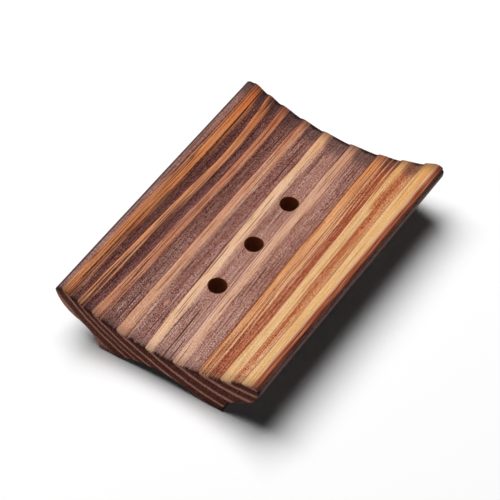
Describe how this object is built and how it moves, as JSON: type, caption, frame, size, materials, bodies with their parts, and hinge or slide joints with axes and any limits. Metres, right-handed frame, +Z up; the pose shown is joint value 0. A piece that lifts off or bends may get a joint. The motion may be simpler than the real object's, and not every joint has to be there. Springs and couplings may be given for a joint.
{
  "type": "soap dish",
  "caption": "Free-standing wooden soap dish cut from one brushed softwood block, with a curved trough, drain holes, flared sides and a drain channel between two runners.",
  "frame": {"origin": "centre of the base, on the surface the dish stands on", "axes": "+X across the dish, +Y along its length and the wood's grain, +Z up"},
  "size_m": [0.08, 0.11, 0.0222],
  "materials": {
    "latewood": "brushed, satin",
    "earlywood": "flamed and brushed, matt"
  },
  "bodies": {
    "root": {"latewood_01": "latewood", "earlywood_02": "earlywood", "latewood_02": "latewood", "earlywood_03": "earlywood", "latewood_03": "latewood", "earlywood_04": "earlywood", "latewood_04": "latewood", "earlywood_05": "earlywood", "latewood_05": "latewood", "earlywood_06": "earlywood", "latewood_06": "latewood", "earlywood_07": "earlywood", "latewood_07": "latewood", "earlywood_08": "earlywood", "latewood_08": "latewood", "earlywood_09": "earlywood", "latewood_09": "latewood", "earlywood_10": "earlywood", "latewood_10": "latewood"}
  },
  "joints": []
}
